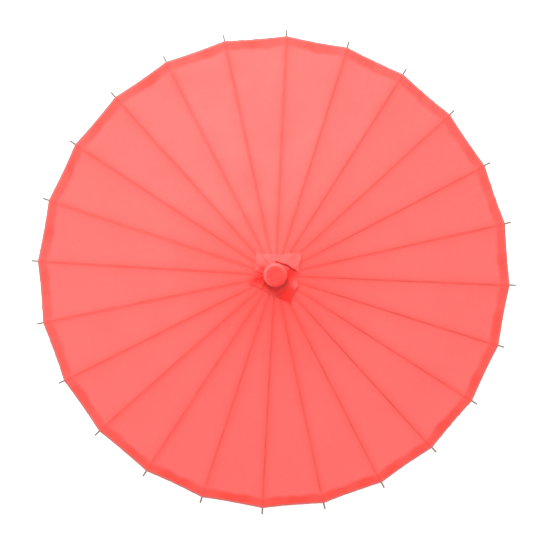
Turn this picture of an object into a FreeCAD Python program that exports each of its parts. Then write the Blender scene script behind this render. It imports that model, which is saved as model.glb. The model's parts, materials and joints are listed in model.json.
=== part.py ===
import FreeCAD, Part
import math
import os

# Oil paper parasol, in millimetres. The origin is the centre of the pole's lower end, +Z runs up
# the pole, and the parasol is open. Long rib 1 points along +Y, and the others follow clockwise.

rib_count = 24
rib_step = 360.0 / rib_count        # degrees from one rib to the next
paper_radius = 420.0                # axis to a corner of the paper
tip_overhang = 12.5                 # level length of rib that shows past the paper
canopy_slope = 21.0                 # degrees that an open rib falls below level
closed_angle = 3.1                  # degrees between a closed rib and the pole
hub_height = 520.0                  # pole's foot to the thread in the top hub
pivot_radius = 15.0                 # axis to the thread ring, in the top hub and in the runner
brace_reach = 195.0                 # hub thread to a rib's middle pin, and a short rib's length

rib_width = 4.4
rib_depth = 3.6
rib_root_width = 1.8                # where a rib or a short rib sits in a saw cut
rib_root_length = 12.0
brace_width = 3.0
brace_depth = 3.0
tongue_width = 1.3                  # short rib's end, inside the long rib's slit
slit_width = 1.8
eye_radius = 0.9                    # thread holes
pin_radius = 0.7                    # middle pins
pin_gap = 0.08                      # running gap of a short rib on its pin
seat_gap = 0.02                     # gap of a fixed pin in its hole

thread_radius = 0.5                 # thread rings
cut_width = 2.3                     # saw cuts in the top hub and the runner
cut_radius = 12.5                   # bottom of the saw cuts, and the hub's neck
groove_half = 0.75                  # half height of the thread's groove

pole_radius = 6.0
pole_top = hub_height + 20.0
grip_groove = 90.0                  # height of the turned line above the grip
hub_rim = 17.0
head_radius = 18.6
head_top = hub_height + 28.5
hub_pin_radius = 1.0
runner_gap = 0.1                    # radial gap between the runner and the pole
runner_rim = 18.0
runner_collar = 11.5
runner_sleeve = 10.6
runner_lip = 12.3
runner_below = 34.0                 # runner's length below its thread
runner_above = 11.0                 # and above it

paper_thick = 0.3
paper_clear = 0.4                   # paper's underside above a rib's top, along the ridge
cap_thick = 0.4
cap_corner = 54.0                   # axis to a corner of the square cap cover
cap_turn = -3.0                     # degrees that the square is turned on the knob

catch_pin_radius = 1.0
catch_width = 2.4
catch_reach = 9.5                   # axis to the catch's nose
catch_arm = 44.0                    # catch's pin to the top of its nose

slope = math.radians(canopy_slope)
fold = math.radians(closed_angle)
rib_length = (paper_radius + tip_overhang - pivot_radius) / math.cos(slope)
runner_drop = 2 * brace_reach * math.sin(slope)
runner_height = hub_height - runner_drop
runner_travel = 2 * brace_reach * (math.cos(fold) - math.sin(slope))
# a closed short rib leaves its long rib's depth this far from the pin, with a little to spare
nest_length = (rib_depth + brace_depth) / 2 / math.sin(2 * fold) + 3.5
catch_pivot = runner_height - runner_below - 0.3 - catch_arm


def vec(x, y, z):
    return FreeCAD.Vector(x, y, z)


def side_plate(outline, width):
    # An outline in the XZ plane, made into a plate that is centred on that plane.
    points = [vec(x, -width / 2, z) for x, z in outline]
    return Part.Face(Part.makePolygon(points + points[:1])).extrude(vec(0, width, 0))


def plan_plate(half_outline, height):
    # (x, half width) pairs, mirrored across the X axis and made into a plate centred on Z = 0.
    there = [vec(x, w, -height / 2) for x, w in half_outline]
    back = [vec(x, -w, -height / 2) for x, w in reversed(half_outline)]
    return Part.Face(Part.makePolygon(there + back + there[:1])).extrude(vec(0, 0, height))


def turned(profile):
    # A closed (radius, height) profile, turned round the pole's axis.
    points = [vec(r, 0, z) for r, z in profile]
    face = Part.Face(Part.makePolygon(points + points[:1]))
    return face.revolve(vec(0, 0, 0), vec(0, 0, 1), 360)


def cross_hole(x, z, radius, length):
    # A cylinder along Y, centred on the XZ plane.
    return Part.makeCylinder(radius, length, vec(x, -length / 2, z), vec(0, 1, 0))


def ring(radius, thickness, height):
    return Part.makeTorus(radius, thickness, vec(0, 0, height), vec(0, 0, 1))


def around(shape, azimuth):
    copy = shape.copy()
    copy.rotate(vec(0, 0, 0), vec(0, 0, 1), azimuth)
    return copy


def rib_azimuths():
    return [90.0 - rib_step * i for i in range(rib_count)]


def placed(shape, pitch, radius, height, azimuth):
    # Tip a bar's +X down by pitch, carry its origin to (radius, height), and turn it to azimuth.
    copy = shape.copy()
    copy.rotate(vec(0, 0, 0), vec(0, 1, 0), pitch)
    copy.translate(vec(radius, 0, height))
    return around(copy, azimuth)


def saw_cuts(low, high):
    # One radial cut for each rib, open at the rim and at both faces.
    box = Part.makeBox(10, cut_width, high - low, vec(cut_radius, -cut_width / 2, low))
    return Part.makeCompound([around(box, a) for a in rib_azimuths()])


def thread_groove(height, rim):
    low = height - groove_half
    inner = pivot_radius - thread_radius - 0.1
    return turned([(inner, low), (rim + 1, low), (rim + 1, low + 2 * groove_half),
                   (inner, low + 2 * groove_half)])


def make_long_rib():
    # Along +X from its thread eye: thin where it enters the hub, slit at the middle pin, and
    # tapered to the tip from below, so its top stays straight under the paper.
    half = rib_depth / 2
    side = side_plate([(-half, -0.75), (-half, 0.75), (-0.75, half), (rib_length, half),
                       (rib_length, -0.5), (brace_reach + nest_length, -half), (-0.75, -half)], 8)
    plan = plan_plate([(-half, rib_root_width / 2), (rib_root_length, rib_root_width / 2),
                       (110, rib_width / 2), (300, rib_width / 2), (rib_length, 1.4)], 8)
    slit = Part.makeBox(7 + nest_length, slit_width, 8, vec(brace_reach - 7, -slit_width / 2, -4))
    rib = side.common(plan).cut(slit)
    rib = rib.cut(cross_hole(0, 0, eye_radius, 8))
    return rib.cut(cross_hole(brace_reach, 0, pin_radius + seat_gap, 8))


def make_middle_pin():
    return cross_hole(brace_reach, 0, pin_radius, rib_width)


def make_short_rib():
    # Along +X from the middle pin to the runner's thread.
    half = brace_depth / 2
    end = brace_reach + half
    side = side_plate([(-half, -0.6), (-half, 0.6), (-0.6, half), (end - 0.9, half),
                       (end, 0.6), (end, -0.6), (end - 0.9, -half), (-0.6, -half)], 8)
    plan = plan_plate([(-half, tongue_width / 2), (nest_length, tongue_width / 2),
                       (nest_length + 4, brace_width / 2), (120, brace_width / 2),
                       (brace_reach - rib_root_length, rib_root_width / 2),
                       (end, rib_root_width / 2)], 8)
    rib = side.common(plan)
    rib = rib.cut(cross_hole(0, 0, pin_radius + pin_gap, 8))
    return rib.cut(cross_hole(brace_reach, 0, eye_radius, 8))


def make_pole():
    pole = Part.makeCylinder(pole_radius, pole_top)
    line = turned([(pole_radius - 0.5, grip_groove), (pole_radius + 1, grip_groove),
                   (pole_radius + 1, grip_groove + 2), (pole_radius - 0.5, grip_groove + 2)])
    slot = Part.makeBox(12, catch_width + 0.6, 50, vec(-4, -catch_width / 2 - 0.3, catch_pivot - 4))
    hole = cross_hole(0, catch_pivot, catch_pin_radius + seat_gap, 20)
    return pole.cut(line).cut(slot).cut(hole).cut(hub_rod(hub_pin_radius + seat_gap, 20))


def nose_top(x):
    # The nose's top lies on a circle about the pin, so it swings clear of the runner.
    return catch_pivot + math.sqrt(catch_arm ** 2 - x ** 2)


def make_catch():
    # A springy tongue that stands in the pole's slot, with its nose under the runner.
    low = catch_pivot
    tongue = side_plate([(-1.6, low - 2.2), (1.2, low - 2.2), (2.4, low + 4), (4.6, low + 26),
                         (catch_reach, low + 38), (catch_reach, nose_top(catch_reach)),
                         (7.0, nose_top(7.0)), (4.0, nose_top(4.0)),
                         (1.6, low + 28), (-2.2, low + 4)], catch_width)
    return tongue.cut(cross_hole(0, low, catch_pin_radius + 0.06, 20))


def make_catch_pin():
    return cross_hole(0, catch_pivot, catch_pin_radius, 2 * pole_radius - 0.6)


def hub_rod(radius, length):
    # A rod across the top hub's neck and the pole inside it.
    start = vec(-length / 2, 0, hub_height + 7)
    return Part.makeCylinder(radius, length, start, vec(1, 0, 0))


def hub_cone(radius):
    # Height of the hub's sloping top, half a millimetre under the paper.
    under_paper = (rib_depth / 2 + paper_clear) / math.cos(slope)
    return hub_height + under_paper - (radius - pivot_radius) * math.tan(slope) - 0.5


def make_top_hub():
    # Slotted crown, neck and knob in one turned piece, with a blind hole for the pole.
    h = hub_height
    bore = pole_radius + 0.05
    body = turned([(bore, h - 13), (runner_collar, h - 13), (runner_collar, h - 9), (hub_rim, h - 9),
                   (hub_rim, hub_cone(hub_rim)), (cut_radius, hub_cone(cut_radius)),
                   (cut_radius, h + 12), (head_radius - 1, h + 15), (head_radius, h + 17),
                   (head_radius, h + 22), (head_radius - 1.3, h + 25.5), (head_radius - 4.5, head_top),
                   (0, head_top), (0, pole_top + 0.2), (bore, pole_top + 0.2)])
    body = body.cut(saw_cuts(h - 14, hub_cone(cut_radius) + 0.5))
    return body.cut(thread_groove(h, hub_rim)).cut(hub_rod(hub_pin_radius + seat_gap, 40))


def make_runner():
    # Slotted flange that carries the short ribs, on a sleeve that is held to open and close it.
    z = runner_height
    bore = pole_radius + runner_gap
    low = z - runner_below
    body = turned([(bore, low), (runner_lip - 0.8, low), (runner_lip, low + 0.8),
                   (runner_lip, low + 5), (runner_sleeve, low + 7), (runner_sleeve, z - 9),
                   (runner_collar, z - 6), (runner_rim, z - 6), (runner_rim, z + 4),
                   (runner_rim - 1, z + 5), (runner_collar, z + 5),
                   (runner_collar, z + runner_above - 1), (runner_collar - 1, z + runner_above),
                   (bore, z + runner_above)])
    return body.cut(saw_cuts(z - 7, z + 6)).cut(thread_groove(z, runner_rim))


def make_runner_thread():
    # The thread as it lies in the groove of each tooth, left out where a short rib's eye passes.
    cut_half = math.degrees(math.asin(cut_width / 2 / pivot_radius))
    sweep = rib_step - 2 * cut_half - 0.4
    arc = Part.makeTorus(pivot_radius, thread_radius, vec(0, 0, runner_height), vec(0, 0, 1),
                         -180, 180, sweep)
    starts = [a + (rib_step - sweep) / 2 for a in rib_azimuths()]
    return Part.makeCompound([around(arc, a) for a in starts])


def paper_corners(radius, lift):
    # The 24 corners, at this radius, of a cone that lies this far above the ribs' tops.
    height = (hub_height + (rib_depth / 2 + lift) / math.cos(slope)
              - (radius - pivot_radius) * math.tan(slope))
    turns = [math.radians(a) for a in rib_azimuths()]
    return [vec(radius * math.cos(t), radius * math.sin(t), height) for t in turns]


def make_canopy():
    # Flat paper panels from ridge to ridge, with a hole at the hub's neck.
    loops = [paper_corners(cut_radius + 0.8, paper_clear),
             paper_corners(cut_radius + 0.8, paper_clear + paper_thick),
             paper_corners(paper_radius, paper_clear + paper_thick),
             paper_corners(paper_radius, paper_clear)]
    faces = []
    for this, that in zip(loops, loops[1:] + loops[:1]):
        for i in range(rib_count):
            j = (i + 1) % rib_count
            corners = [this[i], this[j], that[j], that[i]]
            faces.append(Part.Face(Part.makePolygon(corners + corners[:1])))
    solid = Part.makeSolid(Part.makeShell(faces))
    if solid.Volume < 0:
        solid.reverse()
    return solid


def thickened(line, thickness):
    # A (radius, height) line and the same line moved square to itself, as one closed profile.
    moved = []
    for i, (r, z) in enumerate(line):
        before = line[max(i - 1, 0)]
        after = line[min(i + 1, len(line) - 1)]
        run = (after[0] - before[0], after[1] - before[1])
        size = math.hypot(*run)
        moved.append((max(r - run[1] / size * thickness, 0), z + run[0] / size * thickness))
    return line + moved[::-1]


def make_cap_cover():
    # A square of paper over the knob, drawn in at the neck, with its skirt lying on the canopy.
    h = hub_height
    paper_top = h + (rib_depth / 2 + paper_clear + paper_thick) / math.cos(slope) + 1.2
    far = cap_corner + 4
    cover = turned(thickened([(0, head_top + 0.2), (head_radius - 4.3, head_top + 0.2),
                              (head_radius - 0.7, h + 25.8), (head_radius + 0.3, h + 22.2),
                              (head_radius + 0.3, h + 15.6), (cut_radius + 0.9, h + 10.6),
                              (cut_radius + 0.9, h + 6.4), (cut_radius + 3, paper_top),
                              (far, paper_top - (far - pivot_radius) * math.tan(slope))],
                             cap_thick))
    half_side = cap_corner / math.sqrt(2)
    square = Part.makeBox(2 * half_side, 2 * half_side, 120, vec(-half_side, -half_side, h - 60))
    return around(cover.common(square), cap_turn)


def make_cap_tie():
    # Three turns of thread, drawn tight round the cap cover at the neck.
    turn = 0.6
    radius = cut_radius + 0.9 + cap_thick + turn + 0.1
    heights = [hub_height + 7.2 + 1.3 * i for i in range(3)]
    return Part.makeCompound([ring(radius, turn, z) for z in heights])


def save(shape, node):
    shape.exportStep("parts/" + node + ".step")


os.makedirs("parts", exist_ok=True)

rib_parts = Part.makeCompound([make_long_rib(), make_middle_pin()])
short_rib = make_short_rib()
pin_radius_out = pivot_radius + brace_reach * math.cos(slope)
pin_height = hub_height - brace_reach * math.sin(slope)
for number, azimuth in enumerate(rib_azimuths(), 1):
    save(placed(rib_parts, canopy_slope, pivot_radius, hub_height, azimuth),
         "long_rib_%02d" % number)
    save(placed(short_rib, 180 - canopy_slope, pin_radius_out, pin_height, azimuth),
         "short_rib_%02d" % number)

save(make_pole(), "pole")
save(make_top_hub(), "top_hub")
save(hub_rod(hub_pin_radius, 2 * cut_radius - 0.4), "hub_pin")
save(ring(pivot_radius, thread_radius, hub_height), "top_hub_thread")
save(make_runner(), "runner")
save(make_runner_thread(), "runner_thread")
save(make_catch(), "spring_catch")
save(make_catch_pin(), "catch_pin")
save(make_canopy(), "canopy_paper")
save(make_cap_cover(), "cap_cover")
save(make_cap_tie(), "cap_tie_thread")

print("runner travel %.3f mm" % runner_travel)
print("runner thread height %.3f mm" % runner_height)
print("catch pivot height %.3f mm" % catch_pivot)
print("rib turn %.3f degrees" % (90 - canopy_slope - closed_angle))
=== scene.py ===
import json
import math
import bmesh
import bpy
import numpy as np
from mathutils import Matrix, Vector


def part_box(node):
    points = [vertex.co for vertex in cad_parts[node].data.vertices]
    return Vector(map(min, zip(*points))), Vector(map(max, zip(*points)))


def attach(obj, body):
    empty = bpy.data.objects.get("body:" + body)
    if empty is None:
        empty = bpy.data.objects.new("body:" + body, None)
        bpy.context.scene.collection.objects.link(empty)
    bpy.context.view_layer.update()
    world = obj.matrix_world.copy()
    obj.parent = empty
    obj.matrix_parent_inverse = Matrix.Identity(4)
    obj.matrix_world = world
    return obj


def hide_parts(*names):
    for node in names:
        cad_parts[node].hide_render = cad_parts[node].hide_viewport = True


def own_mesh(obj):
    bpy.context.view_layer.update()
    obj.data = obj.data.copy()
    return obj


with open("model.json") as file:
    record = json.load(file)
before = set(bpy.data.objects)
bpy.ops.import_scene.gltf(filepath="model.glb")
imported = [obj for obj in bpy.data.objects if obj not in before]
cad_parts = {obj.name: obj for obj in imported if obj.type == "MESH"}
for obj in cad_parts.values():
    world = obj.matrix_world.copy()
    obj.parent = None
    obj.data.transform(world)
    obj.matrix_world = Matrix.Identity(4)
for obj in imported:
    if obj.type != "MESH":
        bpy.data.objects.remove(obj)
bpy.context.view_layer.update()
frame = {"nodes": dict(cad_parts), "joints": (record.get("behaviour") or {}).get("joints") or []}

mm = 0.001
joints = {joint["name"]: joint for joint in frame["joints"]}
ribCount = sum(name.startswith("long_rib") for name in frame["nodes"])
ribStep = 2 * math.pi / ribCount
halfStep = ribStep / 2


def ringOf(joint):
    # radius and height of the ring that a joint's axis lies on
    x, y, z = joints[joint]["pos_m"]
    return math.hypot(x, y), z


pivotRadius, hubHeight = ringOf("rib_01_fold")      # the hinges in the top hub
pinRadius, pinHeight = ringOf("brace_01_fold")      # the pins in the middles of the ribs
ribSlope = math.atan2(hubHeight - pinHeight, pinRadius - pivotRadius)
runnerHeight = 2 * pinHeight - hubHeight
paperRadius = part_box("canopy_paper")[1][1]
closedAngle = math.pi / 2 - ribSlope - math.radians(65.9)   # a folded rib from the pole


def ribAxes(number):
    # unit vectors of rib number (0 is the first): out along it, sideways, and up out of the paper
    turn = math.pi / 2 - ribStep * number
    out = np.array([math.cos(turn) * math.cos(ribSlope), math.sin(turn) * math.cos(ribSlope),
                    -math.sin(ribSlope)])
    side = np.array([-math.sin(turn), math.cos(turn), 0.0])
    foot = np.array([pivotRadius * math.cos(turn), pivotRadius * math.sin(turn), hubHeight])
    return foot, out, side, np.cross(out, side)


def weldPoints(mesh):
    # points in the same place become one, which closes poles and the ends of tubes
    work = bmesh.new()
    work.from_mesh(mesh)
    bmesh.ops.remove_doubles(work, verts=work.verts, dist=1e-7)
    work.to_mesh(mesh)
    work.free()


def newPiece(name, points, quads, flat=None, weld=False):
    # one mesh object from an array of points and an array of four-cornered faces
    mesh = bpy.data.meshes.new(name)
    mesh.vertices.add(len(points))
    mesh.vertices.foreach_set("co", np.asarray(points, np.float32).ravel())
    mesh.loops.add(quads.size)
    mesh.loops.foreach_set("vertex_index", quads.astype(np.int32).ravel())
    mesh.polygons.add(len(quads))
    mesh.polygons.foreach_set("loop_start", np.arange(0, quads.size, 4, dtype=np.int32))
    mesh.polygons.foreach_set("use_smooth", np.ones(len(quads), bool))
    mesh.update(calc_edges=True)
    if flat is not None:      # faces with sharp edges all round, so that they don't tint the rest
        edges = np.empty(quads.size, np.int32)
        mesh.loops.foreach_get("edge_index", edges)
        sharp = np.zeros(len(mesh.edges), bool)
        sharp[edges.reshape(-1, 4)[flat].ravel()] = True
        mesh.attributes.new("sharp_edge", "BOOLEAN", "EDGE").data.foreach_set("value", sharp)
    if weld:
        weldPoints(mesh)
    mesh.validate()
    piece = bpy.data.objects.new(name, mesh)
    bpy.context.scene.collection.objects.link(piece)
    return piece


def gridQuads(rows, columns, wrap=False):
    # faces between neighbouring points of a grid; wrap joins the last column to the first
    index = np.arange(rows * columns).reshape(rows, columns)
    if wrap:
        index = np.concatenate([index, index[:, :1]], axis=1)
    return np.stack([index[:-1, :-1], index[1:, :-1], index[1:, 1:], index[:-1, 1:]],
                    axis=-1).reshape(-1, 4)


def smooth(share):
    # from 0 to 1 with no corner at either end
    share = np.clip(share, 0, 1)
    return share * share * (3 - 2 * share)


def setAttribute(piece, name, values):
    layer = piece.data.attributes.new(name, "FLOAT", "POINT")
    layer.data.foreach_set("value", np.asarray(values, np.float32).ravel())


def thickSheet(name, middle, thickness, attributes=(), wrap=False):
    # A sheet about a grid of points: each point is moved half the thickness to either side along
    # the grid's normal, and the two skins are joined round the edge. With wrap the columns go
    # all the way round and the first row is one point, so only the last row has an edge.
    rows, columns = middle.shape[:2]
    if wrap:
        down = np.gradient(middle, axis=0)
        normal = np.cross(down, np.roll(middle, -1, axis=1) - np.roll(middle, 1, axis=1))
        normal[0] = normal[1].mean(axis=0)
    else:
        normal = np.cross(np.gradient(middle, axis=0), np.gradient(middle, axis=1))
    normal /= np.linalg.norm(normal, axis=2, keepdims=True)
    skins = np.concatenate([middle + normal * thickness / 2, middle - normal * thickness / 2])
    count = rows * columns
    upper = gridQuads(rows, columns, wrap)
    index = np.arange(count).reshape(rows, columns)
    loop = index[-1] if wrap else np.concatenate([index[:-1, 0], index[-1, :-1],
                                                  index[:0:-1, -1], index[0, :0:-1]])
    ahead = np.roll(loop, -1)
    rim = np.stack([ahead, loop, loop + count, ahead + count], axis=1)
    quads = np.concatenate([upper, upper[:, ::-1] + count, rim])
    flat = np.arange(len(quads)) >= 2 * len(upper)
    piece = newPiece(name, skins.reshape(-1, 3), quads, flat)
    for label, values in attributes:
        setAttribute(piece, label, np.concatenate([values.ravel(), values.ravel()]))
    if wrap:
        weldPoints(piece.data)
    return piece


def tube(name, path, radius, sides, closed, lay=0, plies=1, depth=0.0):
    # A round thread along a path: at each point a circle square to it, swollen by a cosine of
    # the turn round the thread less lay turns along it, which leaves that many twisted plies.
    count = len(path)
    if closed:
        ahead = np.roll(path, -1, axis=0) - np.roll(path, 1, axis=0)
    else:
        ahead = np.gradient(path, axis=0)
    ahead /= np.linalg.norm(ahead, axis=1, keepdims=True)
    up = np.broadcast_to([0.0, 0.0, 1.0], path.shape)
    across = np.cross(ahead, up)
    across /= np.linalg.norm(across, axis=1, keepdims=True)
    over = np.cross(across, ahead)
    turn = np.arange(sides) / sides * 2 * math.pi
    share = np.arange(count) / (count if closed else count - 1)
    swell = radius * (1 - depth + depth * np.cos(plies * turn[None, :]
                                                 - 2 * math.pi * lay * share[:, None]))
    points = (path[:, None, :] + (swell * np.cos(turn))[..., None] * across[:, None, :]
              + (swell * np.sin(turn))[..., None] * over[:, None, :])
    if closed:
        points = np.concatenate([points, points[:1]])
    else:
        points = np.concatenate([np.repeat(path[:1, None], sides, 1), points,
                                 np.repeat(path[-1:, None], sides, 1)])
    quads = gridQuads(len(points), sides, wrap=True)[:, ::-1]
    return newPiece(name, points.reshape(-1, 3), quads, weld=True)


def groupNodes(name, inputs, outputs):
    tree = bpy.data.node_groups.new(name, "ShaderNodeTree")
    for label, kind, value in inputs:
        socket = tree.interface.new_socket(label, in_out="INPUT", socket_type=kind)
        if value is not None:
            socket.default_value = value
    for label, kind in outputs:
        tree.interface.new_socket(label, in_out="OUTPUT", socket_type=kind)
    return tree, tree.nodes.new("NodeGroupInput"), tree.nodes.new("NodeGroupOutput")


def mathNode(tree, operation, first, second=None, third=None):
    node = tree.nodes.new("ShaderNodeMath")
    node.operation = operation
    for socket, value in zip(node.inputs, (first, second, third)):
        if isinstance(value, (int, float)):
            socket.default_value = value
        elif value is not None:
            tree.links.new(value, socket)
    return node.outputs[0]


def noiseNode(tree, vector, scale, detail=3.0, rough=0.5):
    node = tree.nodes.new("ShaderNodeTexNoise")
    node.inputs["Scale"].default_value = scale
    node.inputs["Detail"].default_value = detail
    node.inputs["Roughness"].default_value = rough
    tree.links.new(vector, node.inputs["Vector"])
    return node.outputs["Fac"]


def spread(tree, value, low, high, toLow=0.0, toHigh=1.0):
    node = tree.nodes.new("ShaderNodeMapRange")
    tree.links.new(value, node.inputs["Value"])
    for label, number in (("From Min", low), ("From Max", high), ("To Min", toLow),
                          ("To Max", toHigh)):
        node.inputs[label].default_value = number
    return node.outputs[0]


def mixColours(tree, share, first, second, blend="MIX"):
    node = tree.nodes.new("ShaderNodeMix")
    node.data_type = "RGBA"
    node.blend_type = blend
    for socket, value in ((node.inputs["Factor"], share), (node.inputs[6], first),
                          (node.inputs[7], second)):
        if isinstance(value, bpy.types.NodeSocket):
            tree.links.new(value, socket)
        else:
            socket.default_value = value
    return node.outputs[2]


def objectPoint(tree, scale=(1, 1, 1)):
    place = tree.nodes.new("ShaderNodeTexCoord")
    mapping = tree.nodes.new("ShaderNodeMapping")
    mapping.inputs["Scale"].default_value = scale
    tree.links.new(place.outputs["Object"], mapping.inputs["Vector"])
    return mapping.outputs["Vector"]


def makeFibreGroup():
    # long fibres lying every way in a sheet, from three stretched noises turned apart, and clouds
    tree, given, out = groupNodes("paperFibre", [("Vector", "NodeSocketVector", None),
                                                 ("Size", "NodeSocketFloat", 1.0)],
                                  [("Fibre", "NodeSocketFloat"), ("Cloud", "NodeSocketFloat")])
    sized = tree.nodes.new("ShaderNodeVectorMath")
    sized.operation = "SCALE"
    tree.links.new(given.outputs["Vector"], sized.inputs[0])
    tree.links.new(given.outputs["Size"], sized.inputs["Scale"])
    strands = []
    for turn in (0.4, 1.5, 2.6):
        lay = tree.nodes.new("ShaderNodeMapping")
        lay.vector_type = "TEXTURE"
        lay.inputs["Rotation"].default_value = (0, 0, turn)
        lay.inputs["Scale"].default_value = (1.0, 0.1, 0.3)
        tree.links.new(sized.outputs[0], lay.inputs["Vector"])
        strands.append(spread(tree, noiseNode(tree, lay.outputs[0], 90, 2), 0.56, 0.7))
    both = mathNode(tree, "MAXIMUM", mathNode(tree, "MAXIMUM", strands[0], strands[1]), strands[2])
    tree.links.new(both, out.inputs["Fibre"])
    tree.links.new(noiseNode(tree, sized.outputs[0], 14, 4, 0.6), out.inputs["Cloud"])
    return tree


def makeGrainGroup():
    # grain along the vector's X: noise stretched twenty times that way, with fine dark pores
    tree, given, out = groupNodes("longGrain", [("Vector", "NodeSocketVector", None),
                                                ("Scale", "NodeSocketFloat", 1.0)],
                                  [("Grain", "NodeSocketFloat"), ("Pore", "NodeSocketFloat")])
    sized = tree.nodes.new("ShaderNodeVectorMath")
    sized.operation = "SCALE"
    tree.links.new(given.outputs["Vector"], sized.inputs[0])
    tree.links.new(given.outputs["Scale"], sized.inputs["Scale"])
    lay = tree.nodes.new("ShaderNodeMapping")
    lay.inputs["Scale"].default_value = (0.05, 1.0, 1.0)
    tree.links.new(sized.outputs[0], lay.inputs["Vector"])
    tree.links.new(noiseNode(tree, lay.outputs[0], 900, 4, 0.6), out.inputs["Grain"])
    tree.links.new(spread(tree, noiseNode(tree, lay.outputs[0], 3200, 2), 0.62, 0.72),
                   out.inputs["Pore"])
    return tree


def makeRibPointGroup():
    # A place on any rib, from its place in the object: distance out from the pole, distance to
    # the side of the nearest rib's middle, and height; and that rib's number.
    tree, given, out = groupNodes("ribPoint", [("Vector", "NodeSocketVector", None)],
                                  [("Point", "NodeSocketVector"), ("Number", "NodeSocketFloat")])
    parts = tree.nodes.new("ShaderNodeSeparateXYZ")
    tree.links.new(given.outputs["Vector"], parts.inputs[0])
    x, y, z = parts.outputs
    radius = mathNode(tree, "SQRT", mathNode(tree, "ADD", mathNode(tree, "MULTIPLY", x, x),
                                             mathNode(tree, "MULTIPLY", y, y)))
    turn = mathNode(tree, "DIVIDE", mathNode(tree, "ARCTAN2", y, x), ribStep)
    number = mathNode(tree, "ROUND", turn)
    off = mathNode(tree, "MULTIPLY", mathNode(tree, "SUBTRACT", turn, number), ribStep)
    joined = tree.nodes.new("ShaderNodeCombineXYZ")
    tree.links.new(radius, joined.inputs[0])
    tree.links.new(mathNode(tree, "MULTIPLY", radius, off), joined.inputs[1])
    tree.links.new(z, joined.inputs[2])
    tree.links.new(joined.outputs[0], out.inputs["Point"])
    tree.links.new(number, out.inputs["Number"])
    return tree


fibreGroup = makeFibreGroup()
grainGroup = makeGrainGroup()
ribPointGroup = makeRibPointGroup()


def newMaterial(name):
    material = bpy.data.materials.new(name)
    material.use_nodes = True
    tree = material.node_tree
    return material, tree, tree.nodes["Principled BSDF"]


def placeGroup(tree, group, vector, **values):
    node = tree.nodes.new("ShaderNodeGroup")
    node.node_tree = group
    tree.links.new(vector, node.inputs["Vector"])
    for label, value in values.items():
        node.inputs[label].default_value = value
    return node.outputs


def addBump(tree, shader, height, distance, strength=1.0):
    bump = tree.nodes.new("ShaderNodeBump")
    bump.inputs["Strength"].default_value = strength
    bump.inputs["Distance"].default_value = distance
    tree.links.new(height, bump.inputs["Height"])
    tree.links.new(bump.outputs["Normal"], shader.inputs["Normal"])


paperLook = {
    "single": (0.98, 0.150, 0.138, 1),    # one layer
    "double": (0.99, 0.070, 0.052, 1),    # a double sheet, as in the hem: deeper dye, and painted shade where the second sheet lets less light through
    "hemSoft": (-3.2 * mm, 3.4 * mm),     # the hem's colour comes in between these depths
    "worn": (0.62, 0.180, 0.160, 1),      # the very edge, darker and greyer
    "wornBand": (4.1 * mm, 2.5 * mm),     # from the rim: none, and all of it
    "crease": (0.54, 0.056, 0.047, 1),    # along one side of each ridge, where the paper laps
    "strand": (1.0, 0.34, 0.30, 1),       # the paper's own fibres
    "cloud": 0.12,                        # how much the colour drifts
    "fibre": 0.06,                        # how much the fibres show
    "translucent": 0.30,
    "roughness": 0.56,
    "specular": 0.32,
}


def readAttribute(tree, name):
    node = tree.nodes.new("ShaderNodeAttribute")
    node.attribute_name = name
    return node.outputs["Fac"]


def makePaper(name, look):
    # Oiled paper. hemDepth and rimGap are distances from the hem's inner edge and from the rim,
    # hemTone is how deep the hem's colour is there, painted shade included, and layers the same away from
    # the hem, painted shade of the ribs, hub and knob included.
    material, tree, shader = newMaterial(name)
    fibre = placeGroup(tree, fibreGroup, objectPoint(tree), Size=1.0)
    inHem = mathNode(tree, "MULTIPLY", spread(tree, readAttribute(tree, "hemDepth"), *look["hemSoft"]),
                     readAttribute(tree, "hemTone"))
    drift = spread(tree, fibre["Cloud"], 0.3, 0.7, -look["cloud"] / 2, look["cloud"] / 2)
    layers = mathNode(tree, "MAXIMUM", inHem, readAttribute(tree, "layers"))
    deep = mathNode(tree, "ADD", layers, drift)
    colour = mixColours(tree, deep, look["single"], look["double"])      # the mix stops at 0 and 1
    pale = mathNode(tree, "MULTIPLY", fibre["Fibre"], look["fibre"])
    colour = mixColours(tree, pale, colour, look["strand"])
    # the crease colour: on the canopy the line where the paper laps on a rib; on the cap, painted shade
    # under the knob, at its neck and along its crease
    colour = mixColours(tree, readAttribute(tree, "crease"), colour, look["crease"])
    # the very edge is darker and greyer
    worn = spread(tree, readAttribute(tree, "rimGap"), *look["wornBand"])
    colour = mixColours(tree, worn, colour, look["worn"])
    tree.links.new(colour, shader.inputs["Base Color"])
    tree.links.new(spread(tree, fibre["Cloud"], 0.3, 0.7, look["roughness"] - 0.06,
                          look["roughness"] + 0.08), shader.inputs["Roughness"])
    shader.inputs["Specular IOR Level"].default_value = look["specular"]
    rough = mathNode(tree, "ADD", mathNode(tree, "MULTIPLY", fibre["Fibre"], 0.6), fibre["Cloud"])
    addBump(tree, shader, rough, 0.00012, 0.6)
    through = tree.nodes.new("ShaderNodeBsdfTranslucent")
    tree.links.new(colour, through.inputs["Color"])
    mix = tree.nodes.new("ShaderNodeMixShader")
    mix.inputs[0].default_value = look["translucent"]
    tree.links.new(shader.outputs[0], mix.inputs[1])
    tree.links.new(through.outputs[0], mix.inputs[2])
    tree.links.new(mix.outputs[0], tree.nodes["Material Output"].inputs["Surface"])
    return material


# on the cap the crease colour is painted shade, and the double colour also takes painted shade beside the
# knob
capLook = dict(paperLook, translucent=0.2, cloud=0.2, fibre=0.03,
               crease=(0.62, 0.022, 0.018, 1), double=(0.95, 0.020, 0.014, 1))
paperMaterial = makePaper("coralPaper", paperLook)
capMaterial = makePaper("capPaper", capLook)


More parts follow.
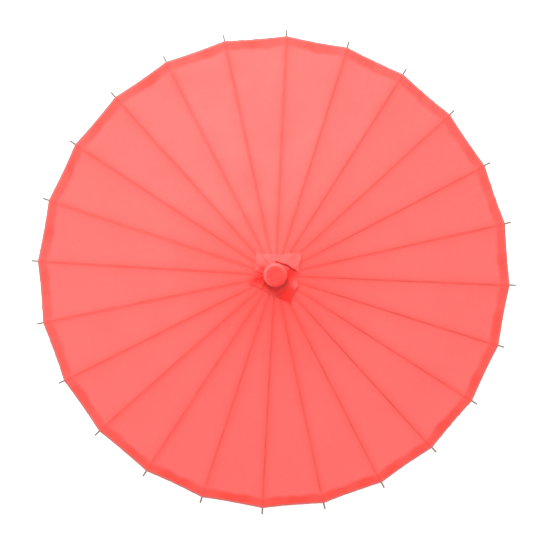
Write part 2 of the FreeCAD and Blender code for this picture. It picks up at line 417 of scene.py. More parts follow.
canopy = {
    "thickness": 0.22 * mm,
    "start": 10.0 * mm,           # first row, from the hinge along the rib, clear of the hub's rim
    "ridgeTop": 2.25 * mm,        # middle of the paper above a rib's middle line, on the rib
    "ridgeFoot": 1.6 * mm,        # and where the ridge meets the panel
    "ridgeFlat": 0.5,             # share of the ridge's half width before it starts to fall
    "sag": 1.8 * mm,              # a panel's dip at the rim, half way between ribs
    "sideFall": 0.0472,           # its fall per step to the side, as the ridges' width allows for it
    "hem": 20.0 * mm,             # width of the fold
    "hemGap": 0.32 * mm,          # between the middles of the two layers
    "keep": 0.03,                 # a closed panel's width as a share of its open width
    "rows": 84,
    "panelColumns": 22,
    "ridgeColumns": 17,
    "waves": (0.35 * mm, 0.22 * mm, 0.26 * mm, 0.75 * mm),   # swells, puckers, least and extra crease
    "edgeTone": (0.27, 6.5 * mm), # painted shade of the rib under the paper, with glue: deeper beside a ridge by this much, fading over this far
    "hubTone": 0.34,              # painted shade of the ribs and hub under the paper, with more paper there: deeper towards the hub
    "lapTone": 0.44,              # the line where neighbouring widths of paper lap on a rib
    "seed": 11,
}


def seamWidth(along, lift):
    # half the gap between neighbouring ribs' planes, at this distance out and height above a rib
    out = pivotRadius + along * math.cos(ribSlope) + lift * math.sin(ribSlope)
    return math.tan(halfStep) * out


def ridgeHalfWidth(along):
    # The ridge is as wide as closing leaves room for: the closed panel beside it then reaches
    # half way to the next rib. Taken at both ends, and straight between.
    widths = []
    for place in (0.0, ribReach):
        spreadWide = seamWidth(place, canopy["ridgeFoot"])
        dip = canopy["sideFall"] * spreadWide + canopy["sag"] * place / ribReach
        radius = pivotRadius + place * math.sin(closedAngle) + canopy["ridgeFoot"] - dip
        closed = math.tan(halfStep) * radius
        widths.append((closed - canopy["keep"] * spreadWide) / (1 - canopy["keep"]))
    return widths[0] + (widths[1] - widths[0]) * along / ribReach


ribReach = (paperRadius - pivotRadius) / math.cos(ribSlope)   # hinge to the paper's corner
acrossDrop = math.sin(halfStep) * math.sin(ribSlope) / math.cos(halfStep)   # panel's fall per side step
edgeRun = math.tan(halfStep) * math.cos(ribSlope)             # rim's run back per side step


def panelNoise(number, along, across):
    # Waves in a panel, zero on both ridges: slow swells, puckers beside the ribs, and creases
    # square to the rim. across is -1 on one rib, 1 on the next, and 0 half way.
    draw = np.random.default_rng(canopy["seed"] + number)
    phase = draw.uniform(0, 2 * math.pi, 9)
    swellSize, puckerSize, creaseLeast, creaseMore = canopy["waves"]
    share = along / ribReach
    halfWide = 55 * mm * share        # about half of the panel's width there
    side = across * halfWide
    edge = 1 - across ** 2
    swell = swellSize * share * edge * (np.sin(along / (34 * mm) + phase[0])
                                        * np.cos(side / (17 * mm) + phase[1]))
    nearRib = np.exp(-(1 - np.abs(across)) * halfWide / (7 * mm))
    pucker = puckerSize * np.minimum(share * 2, 1) * nearRib * edge * (
        np.sin(along / (3.6 * mm) + phase[2]) + 0.7 * np.sin(along / (5.7 * mm) + phase[3]))
    nearRim = np.exp(-np.maximum(ribReach - along, 0) / (26 * mm))
    creased = creaseLeast + creaseMore * draw.uniform(0, 1) ** 3
    crease = creased * nearRim * edge ** 0.7 * (
        np.sin(side / (2.9 * mm) + along / (21 * mm) + phase[4])
        * np.sin(side / (8.3 * mm) + phase[5]))
    return swell + pucker + crease


def hemWidth(number, across):
    # the fold's inner edge wanders a little, and each panel's by itself
    draw = np.random.default_rng(canopy["seed"] + 100 + number)
    phase = draw.uniform(0, 2 * math.pi, 3)
    return canopy["hem"] + (1 - across ** 2) * (
        1.7 * mm * np.sin(across * 4.1 + phase[0]) + 0.9 * mm * np.sin(across * 9.3 + phase[1]))


def hubTone(along):
    # the paper is deeper in colour towards the hub: painted shade of the crowded ribs and the hub under
    # it, and more paper over the ribs there
    out = pivotRadius + along * math.cos(ribSlope)
    return canopy["hubTone"] * np.exp(-np.maximum(out - 40 * mm, 0) ** 2 / (95 * mm) ** 2)


def hemTone(number):
    # painted shade: the hem stands out more on one side of the canopy than on the other, where less lamp
    # light falls on the top and more comes through from below
    turn = math.pi / 2 - ribStep * number - math.radians(112)
    return 0.71 - 0.10 * np.cos(turn) + 0.10 * np.cos(2 * turn)


def patches(number, across):
    # the fold sticks down better in some places, and worst beside the ribs
    draw = np.random.default_rng(canopy["seed"] + 300 + number)
    phase = draw.uniform(0, 2 * math.pi, 2)
    return (1.06 - 0.24 * across ** 4) * (1 + 0.16 * (1 - across ** 2) * (
        np.sin(across * 3.3 + phase[0]) + 0.5 * np.sin(across * 7.9 + phase[1])))


def rowPlaces():
    # Rows from hub to rim as (share of the way, layer, step back): the top layer runs out with
    # closer rows at the hem, turns over in a half circle, and the under layer runs back.
    rows = canopy["rows"]
    main = np.linspace(0, 1, rows)
    near = main + 0.08 * np.sin(math.pi * main) ** 2 * main
    turned = np.linspace(0, math.pi, 7)[1:-1]
    back = np.linspace(0, 1, 9)
    share = np.concatenate([near, np.ones(len(turned)), np.ones(len(back))])
    layer = np.concatenate([np.zeros(rows), (1 - np.cos(turned)) / 2, np.ones(len(back))])
    bulge = np.concatenate([np.zeros(rows), np.sin(turned), np.zeros(len(back))])
    inward = np.concatenate([np.zeros(rows + len(turned)), back])
    return share, layer, bulge, inward


def halfPanel(number, hand):
    # The paper from rib number's ridge half way to the next rib, on its clockwise (hand -1) or
    # other side. Each point is the rib's foot plus a distance along it, a step to the side, and
    # the panel's fall; the dip and the waves are added square to the panel.
    foot, out, side, up = ribAxes(number)
    share, layer, bulge, inward = rowPlaces()
    across = np.linspace(0, 1, canopy["panelColumns"])[None, :]
    reach = 0.0
    for _ in range(12):       # how far the rim's straight edge has run back at the seam
        at = ribReach - edgeRun * reach
        reach = seamWidth(at, canopy["ridgeFoot"] - acrossDrop * reach) - ridgeHalfWidth(at)
    end = ribReach - edgeRun * reach * across
    panel = (number if hand < 0 else number - 1) % ribCount
    fold = hemWidth(panel, hand * (1 - across))
    start = canopy["start"]
    along = start + (end - start) * share[:, None] - inward[:, None] * fold
    ridgeHalf = ridgeHalfWidth(along)
    lifted = canopy["ridgeFoot"] + acrossDrop * ridgeHalf
    wide = (math.tan(halfStep) * (pivotRadius + along * math.cos(ribSlope)
                                  + lifted * math.sin(ribSlope))
            / (1 + math.tan(halfStep) * math.sin(ribSlope) * acrossDrop))
    offset = ridgeHalf + (wide - ridgeHalf) * across
    fall = canopy["ridgeFoot"] - acrossDrop * (offset - ridgeHalf)
    base = (foot + along[..., None] * out + (hand * offset)[..., None] * side
            + fall[..., None] * up)
    square = up + hand * acrossDrop * side       # the panel's own normal
    square = square / np.linalg.norm(square)
    spot = (1 - across) * hand * np.ones_like(along)
    dip = canopy["sag"] * (along / ribReach) ** 1.3 * (1 - (1 - across) ** 2)
    wave = panelNoise(panel, along, spot)
    lift = wave - dip - layer[:, None] * canopy["hemGap"]
    rounded = bulge[:, None] * canopy["hemGap"] / 2       # the fold's own thickness, past the rim
    middle = base + lift[..., None] * square + rounded[..., None] * out
    hemDepth = np.where(layer[:, None] > 0, 1.0, along - (end - fold))
    rimGap = np.where(layer[:, None] > 0, 0.0, end - along)
    # the colour is deeper beside the ridge, painted shade of the rib under the paper with glue, and
    # towards the hub, painted shade of the ribs and hub
    edgeDeep, edgeFade = canopy["edgeTone"]
    layers = edgeDeep * np.exp(-(offset - ridgeHalf) / edgeFade) + hubTone(along)
    # the hem's colour, with painted shade stronger on one side of the canopy, times how well the fold
    # sticks down
    tone = hemTone(number - hand * across / 2 + 0 * along) * patches(panel, spot)
    if hand < 0:
        middle, hemDepth, rimGap, layers, tone = (
            values[:, ::-1] for values in (middle, hemDepth, rimGap, layers, tone))
    name = "paperPanel_%02d%s" % (number + 1, "a" if hand < 0 else "b")
    piece = thickSheet(name, middle, canopy["thickness"],
                       [("hemDepth", hemDepth), ("rimGap", rimGap), ("layers", layers),
                        ("hemTone", tone)])
    lean = np.array([ridgeHalfWidth(0.0), ridgeHalfWidth(ribReach)])
    edge = hand * (lean[1] - lean[0]) / ribReach
    axis = side - edge * out
    anchor = foot + hand * lean[0] * side
    area = float(np.linalg.norm(np.cross(middle[1:, 1:] - middle[:-1, :-1],
                                         middle[1:, :-1] - middle[:-1, 1:]), axis=2).sum() / 2)
    return piece, axis, anchor, (reach, ribReach + canopy["hem"]), area


def ridge(number):
    # The strip of paper glued down over rib number: flat on its back, rounded over its edges,
    # with its hem folded in between it and the rib.
    foot, out, side, up = ribAxes(number)
    share, layer, bulge, inward = rowPlaces()
    across = np.linspace(-1, 1, canopy["ridgeColumns"])[None, :]
    start = canopy["start"]
    along = (start + (ribReach - start) * share - inward * canopy["hem"])[:, None] + 0 * across
    half = ridgeHalfWidth(along)
    offset = across * half
    past = np.clip((np.abs(across) - canopy["ridgeFlat"]) / (1 - canopy["ridgeFlat"]), 0, 1)
    height = canopy["ridgeTop"] - (canopy["ridgeTop"] - canopy["ridgeFoot"]) * smooth(past)
    height = height - layer[:, None] * canopy["hemGap"]
    middle = (foot + (along + bulge[:, None] * canopy["hemGap"] / 2)[..., None] * out
              + offset[..., None] * side + height[..., None] * up)
    hemDepth = np.where(layer[:, None] > 0, 1.0, along - (ribReach - canopy["hem"]))
    rimGap = np.where(layer[:, None] > 0, 0.0, ribReach - along)
    draw = np.random.default_rng(canopy["seed"] + 200 + number)
    strong = draw.uniform(0.6, 1.1)
    waver = 0.28 * np.sin(along / (31 * mm) + draw.uniform(0, 6)) * np.sin(along / (13 * mm))
    lapLine = np.exp(-((offset / mm + draw.uniform(-0.2, 1.2)) / 1.45) ** 2)
    fades = np.clip((ribReach - along) / (30 * mm), 0.15, 1) * np.clip(along / (110 * mm), 0.3, 1)
    lap = canopy["lapTone"] * (strong + waver) * lapLine * fades * (layer[:, None] == 0)
    # painted shade of the rib under the paper, with glue, deeper on the ridge's flat back, and painted
    # shade of the ribs and hub towards the hub; the hem gets the painted shade of one side of the canopy
    deep = canopy["edgeTone"][0] + 0.13 * (1 - past) + hubTone(along)
    return thickSheet("paperRidge_%02d" % (number + 1), middle, canopy["thickness"],
                      [("hemDepth", hemDepth), ("rimGap", rimGap), ("layers", deep),
                       ("hemTone", hemTone(number) + 0 * along), ("crease", lap)])


for number in range(ribCount):
    rib = "rib_%02d" % (number + 1)
    strip = ridge(number)
    strip.data.materials.append(paperMaterial)
    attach(strip, rib)
    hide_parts("canopy_paper")
    for hand in (-1, 1):
        panel, axis, anchor, flat, area = halfPanel(number, hand)
        panel.data.materials.append(paperMaterial)
        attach(panel, rib)
        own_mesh(panel)
        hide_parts("canopy_paper")
print("canopy: %d ridges and %d half panels" % (ribCount, 2 * ribCount))


cap = {
    "thickness": 0.25 * mm,
    "flat": 104 * mm,             # side of the square of paper before it is drawn in
    "corners": ((42.5, 55), (134.5, 47), (195.5, 46), (300.5, 55)),   # degrees and mm from the pole
    "bulge": (-0.03, -0.12, 0.0, 0.12),   # how far each side bows out between its corners
    "rows": (40, 46),             # over the knob, and in the skirt
    "columns": 72,                # from corner to corner
    # down the knob to its neck: radius, height above the hinges and size of the gathers, in mm,
    # and how deep the colour is: painted pale where the rounded edge catches the light, and deep in
    # painted shade at the neck
    "knob": ((0, 29.15, 0, 0.80), (6, 29.15, 0, 0.80), (11, 29.1, 0, 0.80), (14.2, 28.85, 0.06, 0.72),
             (16.4, 27.9, 0.2, 0.05), (18.0, 26.0, 0.35, 0.02), (18.95, 23.4, 0.45, None),
             (19.1, 20.0, 0.55, 0.25), (19.0, 17.0, 0.6, None), (18.6, 14.9, 0.7, 0.85),
             (17.0, 12.6, 0.75, None), (15.0, 11.2, 0.6, None), (14.0, 10.4, 0.25, 1.0),
             (13.78, 9.6, 0.08, None), (13.75, 8.5, 0.06, None), (13.75, 7.4, 0.06, None),
             (13.9, 6.9, 0.1, 1.0)),
    "gathers": (13, 17, 29),      # how many times each wave of the small pleats goes round
    # fans of folds in the skirt: degrees, height in mm, width in degrees, and lean
    "folds": ((24, 4.0, 7, 2.4), (60, 3.0, 9, 0.6), (97, 4.6, 7, 1.9), (119, 2.4, 6, 0.5),
              (146, 4.2, 7, 1.7), (171, 3.4, 6, 0.5), (193, 5.2, 6, 2.0), (224, 4.0, 8, 0.6),
              (249, 5.0, 7, 1.9), (274, 3.2, 6, 0.5), (300, 2.4, 7, 1.5), (327, 5.4, 7, 2.1),
              (349, 3.0, 6, 0.6)),
    "creaseAt": (4.4 * mm, 20.9 * mm),    # a long crease beside the knob starts here
    "creaseWay": (0.902, -0.43),          # and runs this way
    "creaseStep": 3.4 * mm,               # the paper beyond it stands higher by this
    "crumple": 0.33 * mm,
    "clearance": 0.5 * mm,                # the skirt keeps at least this above the canopy
    # where the skirt lies double: degrees, width in degrees, and how deep the colour is
    "flaps": ((300.5, 36, 1.0), (200, 34, 1.1), (6, 27, 1.1), (250, 32, 1.1)),
    "shade": 21 * mm,                     # painted shade: the colour is deep out to this far from the neck
    "plain": 0.26,                        # how deep it is elsewhere
    "seed": 5,
}


def offAngle(turn, place):
    # degrees from a place round the pole, between -180 and 180
    return (np.degrees(turn) - place + 180) % 360 - 180


def capOutline(turn):
    # distance out to the straight edges between neighbouring corners, at each angle
    edge = np.full(turn.shape, np.inf)
    corners = [(math.radians(a), r * mm) for a, r in cap["corners"]]
    for (a0, r0), (a1, r1), bow in zip(corners, corners[1:] + corners[:1], cap["bulge"]):
        p = np.array([r0 * math.cos(a0), r0 * math.sin(a0)])
        q = np.array([r1 * math.cos(a1), r1 * math.sin(a1)]) - p
        around = (a1 - a0) % (2 * math.pi)
        inside = (turn - a0) % (2 * math.pi) <= around + 1e-9
        far = (p[0] * q[1] - p[1] * q[0]) / (np.cos(turn) * q[1] - np.sin(turn) * q[0])
        share = (turn - a0) % (2 * math.pi) / around
        far = far * (1 + bow * np.sin(math.pi * np.clip(share, 0, 1)))
        edge = np.where(inside, np.minimum(edge, far), edge)
    uneven = (1 + 0.024 * np.sin(9 * turn + 1.5 * np.sin(4 * turn))
              + 0.012 * np.sin(21 * turn + 2.5 * np.sin(5 * turn)))
    return edge * uneven


def capTurns():
    # as many columns between each two corners, so that a column runs out to every corner
    angles = [math.radians(a) for a, _ in cap["corners"]]
    step = np.arange(cap["columns"]) / cap["columns"]
    return np.concatenate([a0 + (a1 - a0) % (2 * math.pi) * step
                           for a0, a1 in zip(angles, angles[1:] + angles[:1])])[None, :]


def gatherWave(turn):
    # the small pleats: a few sines at random phases, which stay between -1 and 1 together
    draw = np.random.default_rng(cap["seed"])
    wave = 0
    for times in cap["gathers"]:
        wave = wave + np.sin(times * turn + draw.uniform(0, 2 * math.pi)) / len(cap["gathers"])
    return wave


def knobRings(turn, wave):
    # Rings evenly spaced down the knob's line and swollen by the pleats, with how deep the colour is,
    # painted paler where the rounded edge faces the light, and how dark the painted shade is on each.
    line = np.array([row[:3] for row in cap["knob"]]) * mm
    run = np.concatenate([[0], np.cumsum(np.hypot(*np.diff(line[:, :2], axis=0).T))])
    at = np.linspace(0, run[-1], cap["rows"][0])
    radius, height, size = (np.interp(at, run, line[:, k])[:, None] for k in range(3))
    rings = radius + size * (0.5 + 0.5 * wave)
    rings[0] = 0
    heights = hubHeight + height + size * 0.5 * np.roll(wave, 9, axis=1) * (radius < 17 * mm)
    known = [k for k, row in enumerate(cap["knob"]) if row[3] is not None]
    tone = np.interp(at, run[known], [cap["knob"][k][3] for k in known])
    facing = 0.5 + 0.5 * np.cos(turn - math.radians(128))      # painted light: the side of the rounded edge that faces the light is paler
    deep = np.maximum(tone[:, None], 0.85 * (1 - facing)) + 0.15 * wave * (radius > 15 * mm)
    # painted shade under the knob's bulge, down to its neck
    dark = np.interp(at, run[[0, 8, 10, 16]], [0, 0, 0.8, 0.8])[:, None] + 0 * turn
    return rings, heights, deep, dark


def longCrease(x, y):
    # Each point's place by the crease: how far beyond its wavy line, and its strength there,
    # which is 1 and fades at the line's two ends.
    wayX, wayY = cap["creaseWay"]
    fromX, fromY = x - cap["creaseAt"][0], y - cap["creaseAt"][1]
    beside = fromX * wayX + fromY * wayY
    beyond = (fromY * wayX - fromX * wayY - 2.2 * mm * np.sin(beside / (11 * mm))
              + 0.5 * mm * np.sin(beside / (2.9 * mm)))
    strength = np.clip((beside + 7 * mm) / (7 * mm), 0, 1) * np.clip((38 * mm - beside) / (9 * mm), 0, 1)
    return beyond, strength


def skirtLift(turn, out, x, y, fan, beyond, strength):
    # how far the skirt stands above the canopy: folds, the step at the crease, and crumples
    lift = 0.65 * mm + 3.2 * mm * (1 - out) ** 2.2
    for place, tall, wide, lean in cap["folds"]:
        off = offAngle(turn, place + 5 * np.sin(out * 2.5 + place))
        off = off / wide / np.where(off > 0, lean, 1.6)
        lift = lift + tall * mm * fan * (0.6 + 0.4 * out) * np.exp(-np.abs(off) ** 1.6)
    step = smooth(beyond / (1.5 * mm) + 0.5)
    near = np.exp(-np.maximum(beyond, 0) / (13 * mm))
    lift = (lift * (1 - 0.55 * strength * (1 - step) * (beyond > -16 * mm))
            + cap["creaseStep"] * strength * step * near)
    crumple = (np.sin(x / (2.7 * mm) + 2 * np.sin(y / (4.1 * mm))) * np.sin(y / (3.1 * mm) + 1.3)
               + 0.6 * np.sin((x - y) / (1.9 * mm) + 3 * np.sin(x / (6 * mm))))
    return np.maximum(lift + cap["crumple"] * crumple * fan, cap["clearance"])


def skirtTones(turn, out, radius, start, beyond, strength):
    # how deep the colour is where the paper lies double, with painted shade beside the knob and along the
    # crease, and how dark the painted shade is under the knob, most on the side away from the light, and
    # along the crease
    flap = 0
    for place, wide, much in cap["flaps"]:
        flap = np.maximum(flap, much * np.exp(-(offAngle(turn, place) / wide) ** 4))
    widest = np.exp(-(offAngle(turn, 300) / 30) ** 2)          # this flap stays deep to its corner
    deep = flap * np.clip(1.35 - 0.75 * out * (1 - 0.85 * widest), 0, 1)
    # painted shade beside the knob, most on the sides away from the light
    side = 1 - 0.8 * np.maximum(np.sin(turn + 0.05), 0) ** 0.8
    deep = np.maximum(deep, side * np.exp(-((radius - start) / cap["shade"]) ** 4))
    # painted shadow in the crease, and less of the painted shade on the raised paper beyond it
    deep = np.maximum(deep, np.exp(-np.abs(beyond) / (0.9 * mm)) * strength * 0.95)
    deep = np.where((strength > 0.3) & (beyond > 1.2 * mm), deep * 0.35, deep)
    # painted shade under the knob, most on the side away from the light, and painted shadow along the
    # crease
    away = 0.56 - 0.44 * np.sin(turn + 0.2)
    under = 0.85 * away * np.exp(-(np.maximum(radius - 20.5 * mm, 0) / (6.0 * mm)) ** 2)
    dark = np.maximum(under, np.exp(-(beyond / (1.0 * mm)) ** 2) * strength * 0.7)
    return np.maximum(deep, cap["plain"]), dark


def makeCap():
    # One square of paper as rows of rings: across the knob's top, down its side, in to the neck
    # under the thread, and out to the square's edge above the canopy's slope.
    turn = capTurns()
    knobRadius, knobHeight, knobDeep, knobDark = knobRings(turn, gatherWave(turn))
    out = np.linspace(0, 1, cap["rows"][1] + 1)[1:, None]
    start = knobRadius[-1:]
    skirtRadius = start + (capOutline(turn) - start) * out ** 1.15
    x, y = skirtRadius * np.cos(turn), skirtRadius * np.sin(turn)
    fan = np.clip((skirtRadius - start) / (9 * mm), 0, 1) ** 0.8
    beyond, strength = longCrease(x, y)
    lift = skirtLift(turn, out, x, y, fan, beyond, strength)
    slope = hubHeight + 2.53 * mm - (skirtRadius - pivotRadius) * math.tan(ribSlope)
    blend = smooth(out / 0.12)                # from the neck down to the slope
    skirtHeight = knobHeight[-1:] * (1 - blend) + (slope + lift) * blend
    skirtDeep, skirtDark = skirtTones(turn, out, skirtRadius, start, beyond, strength)

    radius = np.concatenate([knobRadius, skirtRadius])
    height = np.concatenate([knobHeight, skirtHeight])
    height[0] = height[0].mean()
    middle = np.stack([radius * np.cos(turn), radius * np.sin(turn), height], axis=-1)
    noHem = np.full(radius.shape, 0.5)        # metres from any hem or rim
    piece = thickSheet("capCover", middle, cap["thickness"],
                       [("layers", np.concatenate([knobDeep, skirtDeep])),
                        ("crease", np.concatenate([knobDark, skirtDark])),
                        ("hemDepth", -noHem), ("rimGap", noHem)], wrap=True)
    piece.data.materials.append(capMaterial)
    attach(piece, "root")
    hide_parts("cap_cover")


makeCap()

thread = {
    "plies": 3,
    "pitch": 3.2 * mm,            # along the thread for one turn of a ply
    "groove": 0.1,                # between the plies, as a share of the thread's radius
    "sides": 12,
    "perTurn": 10,                # rings of points in one turn of a ply
    "hinge": 0.5 * mm,            # radius of the threads that the ribs hinge on
    "tie": 0.55 * mm,             # and of the thread round the cap's neck
    "coil": (14.5 * mm, 7.3 * mm, 3.0, 1.22 * mm),    # radius, foot above the hinges, turns, rise
    "knot": (15.6 * mm, 9.1 * mm, 0.62 * mm, 0.45 * mm),   # radius out, height, size and thread
    "knotTurn": 3.6,              # where the ends and the knot are, in radians
    "colour": (0.80, 0.05, 0.045, 1),
    "pale": (0.86, 0.80, 0.66, 1),
}


def ringPath(radius, height, turns=1.0, rise=0.0, start=0.0):
    # a level ring, or with rise a coil climbing that far in each turn
    length = 2 * math.pi * radius * turns
    count = int(length / thread["pitch"] * thread["perTurn"])
    turn = start + np.linspace(0, 2 * math.pi * turns, count, endpoint=bool(rise))
    path = np.stack([radius * np.cos(turn), radius * np.sin(turn),
                     height + rise * (turn - start) / (2 * math.pi)], axis=1)
    return path, round(length / thread["pitch"])


def trefoil(radius, height, size, place):
    # a small knot: a line that goes three times in and out as it goes twice round
    turn = np.linspace(0, 2 * math.pi, 96, endpoint=False)
    away = radius + size * 1.1 * np.sin(3 * turn)
    sideways = size * (np.sin(turn) + 2 * np.sin(2 * turn))
    up = size * 0.9 * (np.cos(turn) - 2 * np.cos(2 * turn))
    return np.stack([away * math.cos(place) - sideways * math.sin(place),
                     away * math.sin(place) + sideways * math.cos(place), height + up], axis=1)


def makeThreadMaterial(name, colour):
    material, tree, shader = newMaterial(name)
    where = objectPoint(tree)
    fuzz = noiseNode(tree, where, 2600, 3, 0.6)
    dark = tuple(0.6 * value for value in colour[:3]) + (1,)
    tree.links.new(mixColours(tree, spread(tree, fuzz, 0.35, 0.65), dark, colour),
                   shader.inputs["Base Color"])
    shader.inputs["Roughness"].default_value = 0.8
    addBump(tree, shader, fuzz, 0.0001, 0.5)
    return material


def makeThreads():
    redThread = makeThreadMaterial("redThread", thread["colour"])
    paleThread = makeThreadMaterial("paleThread", thread["pale"])
    twist = (thread["plies"], thread["groove"])
    path, lay = ringPath(pivotRadius, hubHeight)
    upper = tube("topHubThread", path, thread["hinge"], thread["sides"], True, lay, *twist)
    path, lay = ringPath(pivotRadius, runnerHeight)
    lower = tube("runnerThread", path, thread["hinge"], thread["sides"], True, lay, *twist)
    radius, foot, turns, rise = thread["coil"]
    path, lay = ringPath(radius, hubHeight + foot, turns, rise, thread["knotTurn"])
    tie = tube("capTie", path, thread["tie"], thread["sides"], False, lay, *twist)
    radius, foot, size, thick = thread["knot"]
    path = trefoil(radius, hubHeight + foot, size, thread["knotTurn"])
    knot = tube("capTieKnot", path, thick, 8, True)
    for piece, body, node, material in ((upper, "root", "top_hub_thread", paleThread),
                                        (lower, "runner", "runner_thread", paleThread),
                                        (tie, "root", "cap_tie_thread", redThread),
                                        (knot, "root", "cap_tie_thread", redThread)):
        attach(piece, body)
        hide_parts(node)
        piece.data.materials.append(material)


makeThreads()
print("cap cover and threads")


wood = {
    "bamboo": ((0.62, 0.46, 0.27, 1), (0.78, 0.63, 0.41, 1)),   # dark and light of the grain
    "brace": ((0.58, 0.42, 0.24, 1), (0.74, 0.58, 0.36, 1)),
    "pole": ((0.44, 0.27, 0.13, 1), (0.60, 0.41, 0.23, 1)),
    "hub": ((0.40, 0.24, 0.12, 1), (0.56, 0.37, 0.20, 1)),
    "older": (0.50, 0.34, 0.17, 1),       # some ribs are nearer this than others
    "ring": (0.34, 0.22, 0.11, 1),        # at a bamboo's joint
    "ringEvery": 0.19,                    # metres between joints
    "bambooPore": (0.30, 0.19, 0.09, 1),
    "tipGrey": (0.085, 0.078, 0.070, 1),
    "tipBand": (4 * mm, 2 * mm),          # the grey comes in from inside the rim to outside it
    "turnedPore": (0.16, 0.09, 0.04, 1),
    "bevel": 0.22 * mm,
    "stripBevel": 0.12 * mm,              # on the thin catch
}


def makeBamboo(name, tones, tip):
    # split bamboo: long fibres, a pale joint line now and then at its own place on each rib, and
    # greyed ends
    material, tree, shader = newMaterial(name)
    place = placeGroup(tree, ribPointGroup, objectPoint(tree))
    grain = placeGroup(tree, grainGroup, place["Point"], Scale=1.0)
    colour = mixColours(tree, spread(tree, grain["Grain"], 0.3, 0.7), *tones)
    parts = tree.nodes.new("ShaderNodeSeparateXYZ")
    tree.links.new(place["Point"], parts.inputs[0])
    own = tree.nodes.new("ShaderNodeTexWhiteNoise")
    own.noise_dimensions = "1D"
    tree.links.new(place["Number"], own.inputs["W"])
    tone = spread(tree, own.outputs["Value"], 0, 1, 0.0, 0.30)
    colour = mixColours(tree, tone, colour, wood["older"])
    shifted = mathNode(tree, "ADD", mathNode(tree, "DIVIDE", parts.outputs[0], wood["ringEvery"]),
                       own.outputs["Value"])
    ring = mathNode(tree, "ABSOLUTE", mathNode(tree, "SUBTRACT", mathNode(tree, "FRACT", shifted), 0.5))
    joint = spread(tree, ring, 0.012, 0.004)
    colour = mixColours(tree, mathNode(tree, "MULTIPLY", joint, 0.5), colour, wood["ring"])
    colour = mixColours(tree, mathNode(tree, "MULTIPLY", grain["Pore"], 0.35), colour, wood["bambooPore"])
    if tip:
        inside, outside = wood["tipBand"]
        grey = spread(tree, parts.outputs[0], paperRadius - inside, paperRadius + outside, 0.0, 0.9)
        colour = mixColours(tree, grey, colour, wood["tipGrey"])
    tree.links.new(colour, shader.inputs["Base Color"])
    tree.links.new(spread(tree, grain["Grain"], 0.3, 0.7, 0.5, 0.36), shader.inputs["Roughness"])
    height = mathNode(tree, "ADD", grain["Grain"], mathNode(tree, "MULTIPLY", joint, 0.8))
    addBump(tree, shader, height, 0.00018, 0.6)
    return material


def makeTurned(name, tones, coat):
    # turned wood: grain up the pole, faint rings of the lathe across it, under a thin varnish
    material, tree, shader = newMaterial(name)
    upright = tree.nodes.new("ShaderNodeMapping")
    upright.inputs["Rotation"].default_value = (0, math.pi / 2, 0)
    tree.links.new(objectPoint(tree), upright.inputs["Vector"])
    grain = placeGroup(tree, grainGroup, upright.outputs[0], Scale=0.45)
    cloud = noiseNode(tree, objectPoint(tree, (1, 1, 0.15)), 60, 3)
    colour = mixColours(tree, spread(tree, grain["Grain"], 0.3, 0.7), *tones)
    colour = mixColours(tree, spread(tree, cloud, 0.35, 0.7, 0.0, 0.35), colour, tones[0])
    colour = mixColours(tree, mathNode(tree, "MULTIPLY", grain["Pore"], 0.4), colour, wood["turnedPore"])
    tree.links.new(colour, shader.inputs["Base Color"])
    lathe = noiseNode(tree, objectPoint(tree, (0.02, 0.02, 1)), 2200, 1)
    tree.links.new(spread(tree, cloud, 0.3, 0.7, 0.34, 0.46), shader.inputs["Roughness"])
    shader.inputs["Coat Weight"].default_value = coat
    shader.inputs["Coat Roughness"].default_value = 0.18
    addBump(tree, shader, mathNode(tree, "ADD", grain["Grain"], mathNode(tree, "MULTIPLY", lathe, 0.5)),
            0.00012, 0.5)
    return material


def makeSteel(name, tone, rough):
    # drawn wire or strip: fine scratches, a little duller in blotches
    material, tree, shader = newMaterial(name)
    scratch = noiseNode(tree, objectPoint(tree, (1, 1, 0.06)), 3500, 3)
    blotch = noiseNode(tree, objectPoint(tree), 160, 4)
    dull = tuple(0.55 * value for value in tone[:3]) + (1,)
    tree.links.new(mixColours(tree, spread(tree, blotch, 0.45, 0.75), tone, dull),
                   shader.inputs["Base Color"])
    shader.inputs["Metallic"].default_value = 1.0
    tree.links.new(spread(tree, mathNode(tree, "MULTIPLY", scratch, blotch), 0.1, 0.45,
                          rough - 0.08, rough + 0.14), shader.inputs["Roughness"])
    addBump(tree, shader, scratch, 0.00004, 0.4)
    return material


hubWood = makeTurned("hubWood", wood["hub"], 0.15)
finishes = {
    "long_rib": (makeBamboo("ribBamboo", wood["bamboo"], True), "rib_bamboo"),
    "short_rib": (makeBamboo("braceBamboo", wood["brace"], False), "brace_bamboo"),
    "pole": (makeTurned("poleWood", wood["pole"], 0.35), "pole_wood"),
    "top_hub": (hubWood, "hub_wood"),
    "runner": (hubWood, "hub_wood"),
    "hub_pin": (makeBamboo("pinBamboo", wood["brace"], False), "bamboo_pin"),
    "catch_pin": (makeSteel("wireSteel", (0.62, 0.61, 0.58, 1), 0.30), "steel_wire"),
    "spring_catch": (makeSteel("springSteel", (0.50, 0.49, 0.47, 1), 0.34), "spring_steel"),
}


def kindOf(name):
    # the node's name without its number
    return name.rstrip("0123456789").rstrip("_")


def finishNode(name):
    # its material, and its loose triangles merged and their edges eased
    node = bpy.data.objects[name]
    material, slot = finishes[kindOf(name)]
    node.data.materials.clear()
    node.data.materials.append(material)
    weld = node.modifiers.new("weld", "WELD")
    weld.merge_threshold = 1e-6
    bevel = node.modifiers.new("bevel", "BEVEL")
    bevel.width = wood["stripBevel"] if name == "spring_catch" else wood["bevel"]
    bevel.segments = 2
    bevel.limit_method = "ANGLE"
    bevel.angle_limit = math.radians(40)
    bevel.use_clamp_overlap = True


for name in sorted(frame["nodes"]):
    if kindOf(name) in finishes:
        finishNode(name)
print("bamboo, wood and steel")


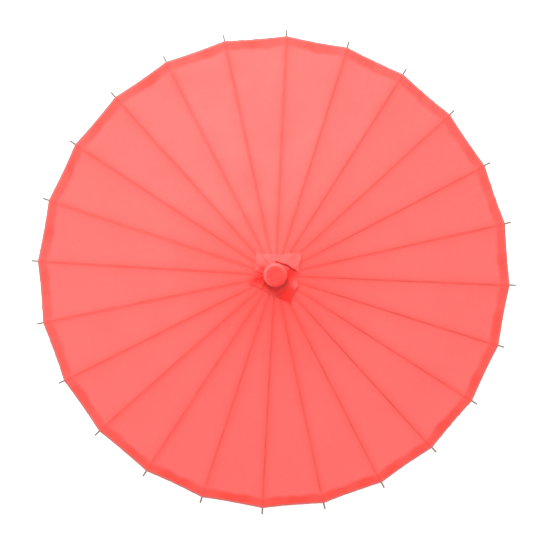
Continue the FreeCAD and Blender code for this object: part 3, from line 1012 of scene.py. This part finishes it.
view = {
    "tilt": (-0.010, 0.020),      # how far the camera leans to its own right and top
    "roll": 2.9,                  # degrees that the first rib lies clockwise of straight up
    "distance": 1.9,
    "lens": 69.7,
    "aimOff": (2.0 * mm, -4.2 * mm),
    "world": 0.78,
    "floor": 150.0,               # metres from its middle to its sides
    "glow": 0.27,                 # of the floor, as on a light table
    # place, width and power of each soft light
    "lights": {"keyLight": ((-1.2, 5.1, 6.2), 4.4, 615.0),
               "fillLight": ((1.8, -1.6, 2.2), 2.0, 14.0),
               "sideLight": ((-2.3, -0.5, 2.2), 2.0, 14.0)},
}


def makeFloor():
    # one wide pale sheet just under the pole's foot
    size = view["floor"]
    points = np.array([[-size, -size, 0], [size, -size, 0], [size, size, 0], [-size, size, 0]])
    floor = newPiece("floor", points - [0, 0, 0.001], np.array([[0, 1, 2, 3]]))
    material, tree, shader = newMaterial("paleFloor")
    shader.inputs["Base Color"].default_value = (0.93, 0.93, 0.93, 1)
    shader.inputs["Roughness"].default_value = 0.9
    shader.inputs["Emission Color"].default_value = (1, 1, 1, 1)
    shader.inputs["Emission Strength"].default_value = view["glow"]
    floor.data.materials.append(material)


def softLight(name, place, size, power):
    lamp = bpy.data.lights.new(name, "AREA")
    lamp.shape = "DISK"
    lamp.size = size
    lamp.energy = power
    thing = bpy.data.objects.new(name, lamp)
    bpy.context.scene.collection.objects.link(thing)
    thing.location = place
    aim = np.array([0, 0, 0.4]) - np.array(place)
    thing.rotation_mode = "QUATERNION"
    thing.rotation_quaternion = Vector(aim).to_track_quat("-Z", "Y")


def makeCamera():
    # it looks straight down but for a small tilt, at the height of the paper's rim
    roll = math.radians(view["roll"])
    levelUp = Vector((-math.sin(roll), math.cos(roll), 0))
    levelRight = Vector((math.cos(roll), math.sin(roll), 0))
    aim = (Vector((0, 0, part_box("canopy_paper")[0][2])) + levelRight * view["aimOff"][0]
           + levelUp * view["aimOff"][1])
    back = (levelRight * view["tilt"][0] + levelUp * view["tilt"][1] + Vector((0, 0, 1))).normalized()
    right = levelUp.cross(back).normalized()
    up = back.cross(right)
    turn = Matrix((right, up, back)).transposed()
    data = bpy.data.cameras.new("camera")
    data.lens = view["lens"]
    data.sensor_width = 36
    camera = bpy.data.objects.new("camera", data)
    bpy.context.scene.collection.objects.link(camera)
    camera.location = aim + back * view["distance"]
    camera.rotation_mode = "QUATERNION"
    camera.rotation_quaternion = turn.to_quaternion()
    bpy.context.scene.camera = camera


makeFloor()
for name, (place, size, power) in view["lights"].items():
    softLight(name, place, size, power)
world = bpy.data.worlds.new("paleRoom")
world.use_nodes = True
world.node_tree.nodes["Background"].inputs["Color"].default_value = (1, 1, 1, 1)
world.node_tree.nodes["Background"].inputs["Strength"].default_value = view["world"]
bpy.context.scene.world = world
bpy.context.scene.view_settings.view_transform = "Standard"
makeCamera()
print("camera, lights and floor")
